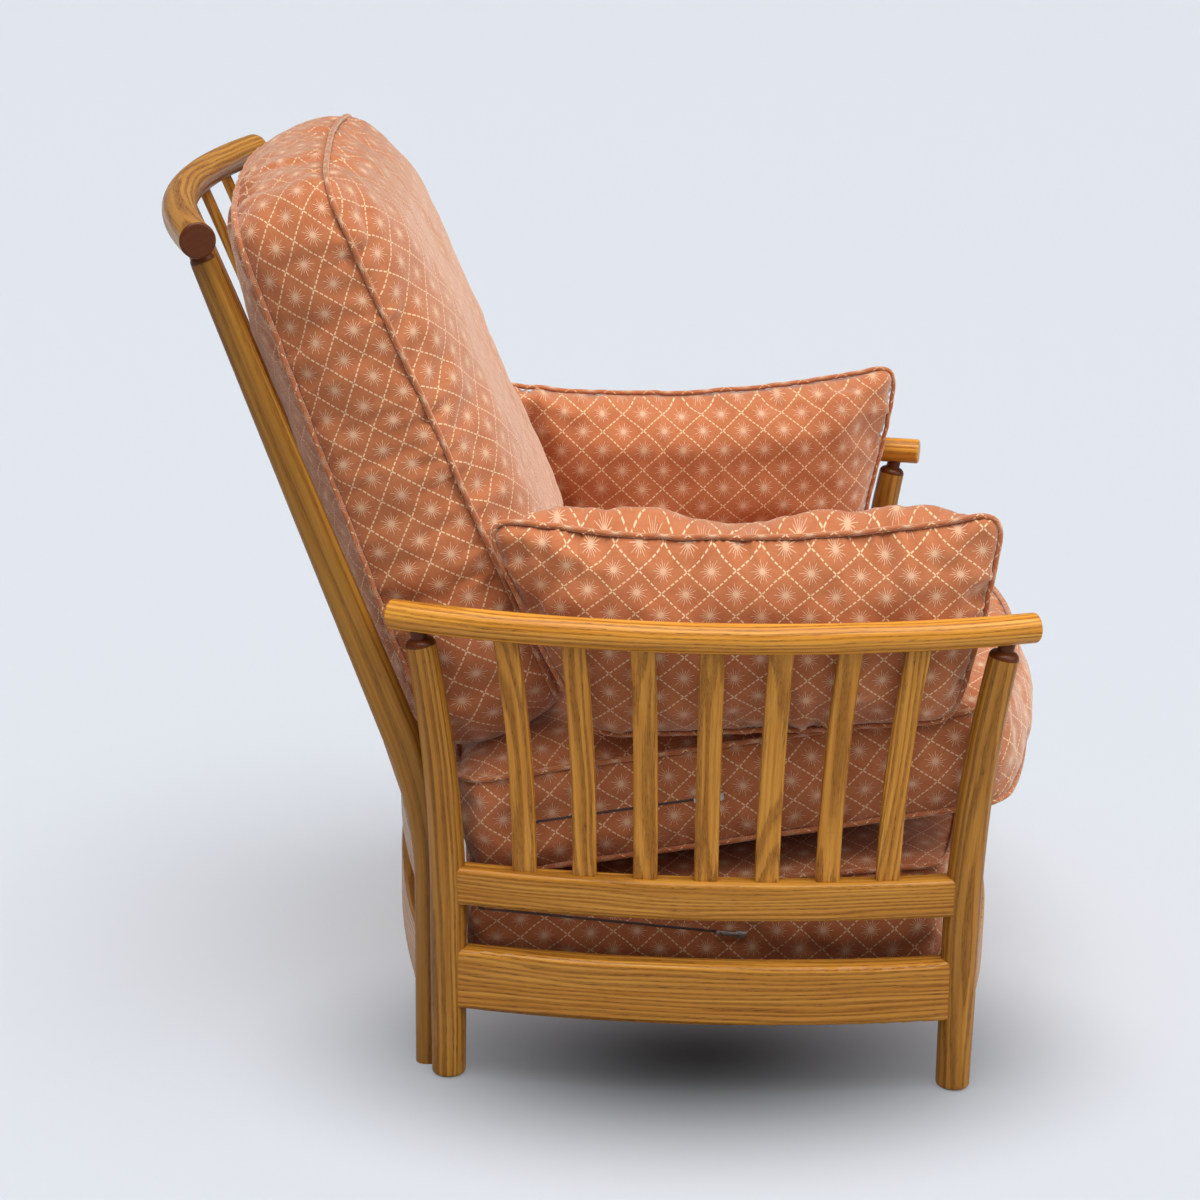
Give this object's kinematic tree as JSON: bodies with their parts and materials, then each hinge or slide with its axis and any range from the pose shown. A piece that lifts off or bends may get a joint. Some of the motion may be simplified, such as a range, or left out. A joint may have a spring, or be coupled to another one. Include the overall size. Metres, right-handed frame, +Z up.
{
  "type": "easy chair",
  "caption": "Low ash easy chair with bowed slatted sides, a fixed raked slatted back and loose terracotta lattice-patterned cushions.",
  "frame": {"origin": "middle of the chair's overall footprint, on the floor", "axes": "+Z up, the sitter faces -Y, the sitter's left is +X"},
  "size_m": [0.847, 0.9678, 0.9518],
  "materials": {
    "ash_wood": "satin golden lacquer over open ash grain",
    "cover_fabric": "woven terracotta cloth with a cream dashed lattice",
    "webbing": "matt rubber webbing",
    "steel": "zinc plated",
    "insert_brass": "turned",
    "zip_tape": "woven tape with coil teeth",
    "zip_metal": "dull nickel"
  },
  "bodies": {
    "frame": {"front_leg_left": "ash_wood", "front_leg_right": "ash_wood", "rear_leg_left": "ash_wood", "rear_leg_right": "ash_wood", "back_post_left": "ash_wood", "back_post_right": "ash_wood", "arm_rail_left": "ash_wood", "arm_rail_right": "ash_wood", "side_upper_rail_left": "ash_wood", "side_upper_rail_right": "ash_wood", "side_lower_rail_left": "ash_wood", "side_lower_rail_right": "ash_wood", "seat_bearer_left": "ash_wood", "seat_bearer_right": "ash_wood", "arm_slat_1_left": "ash_wood", "arm_slat_1_right": "ash_wood", "arm_slat_2_left": "ash_wood", "arm_slat_2_right": "ash_wood", "arm_slat_3_left": "ash_wood", "arm_slat_3_right": "ash_wood", "arm_slat_4_left": "ash_wood", "arm_slat_4_right": "ash_wood", "arm_slat_5_left": "ash_wood", "arm_slat_5_right": "ash_wood", "arm_slat_6_left": "ash_wood", "arm_slat_6_right": "ash_wood", "arm_slat_7_left": "ash_wood", "arm_slat_7_right": "ash_wood", "back_slat_1": "ash_wood", "back_slat_2": "ash_wood", "back_slat_3": "ash_wood", "back_slat_4": "ash_wood", "back_slat_5": "ash_wood", "crest_rail": "ash_wood", "back_upper_rail": "ash_wood", "back_lower_rail": "ash_wood", "front_rail": "ash_wood", "frame_bolts": "steel", "threaded_inserts": "insert_brass", "seat_webbing": "webbing", "webbing_clips": "steel", "base_cushion": "cover_fabric", "base_zip": "zip_tape"},
    "seat_cushion": {"seat_cushion": "cover_fabric", "seat_zip": "zip_tape"},
    "back_cushion": {"back_cushion": "cover_fabric"},
    "arm_cushion_left": {"arm_cushion_left": "cover_fabric"},
    "arm_cushion_right": {"arm_cushion_right": "cover_fabric"},
    "base_zip_runner": {"base_zip_runner": "zip_metal"},
    "seat_zip_runner": {"seat_zip_runner": "zip_metal"}
  },
  "joints": [
    {"name": "seat_cushion_draw", "type": "slide", "parent": "frame", "child": "seat_cushion", "axis": [0, -0.9871, 0.1599], "range_m": [0, 0.3]},
    {"name": "back_cushion_lift", "type": "slide", "parent": "frame", "child": "back_cushion", "axis": [0, 0.3584, 0.9336], "range_m": [0, 0.35]},
    {"name": "arm_cushion_left_lift", "type": "slide", "parent": "frame", "child": "arm_cushion_left", "axis": [0, 0, 1], "range_m": [0, 0.25]},
    {"name": "arm_cushion_right_lift", "type": "slide", "parent": "frame", "child": "arm_cushion_right", "axis": [0, 0, 1], "range_m": [0, 0.25]},
    {"name": "base_zip_run", "type": "slide", "parent": "frame", "child": "base_zip_runner", "axis": [0.0482, 0.9947, 0.0911], "range_m": [0, 0.25]},
    {"name": "seat_zip_run", "type": "slide", "parent": "seat_cushion", "child": "seat_zip_runner", "axis": [0.0395, 0.9864, -0.1598], "range_m": [0, 0.185]}
  ]
}
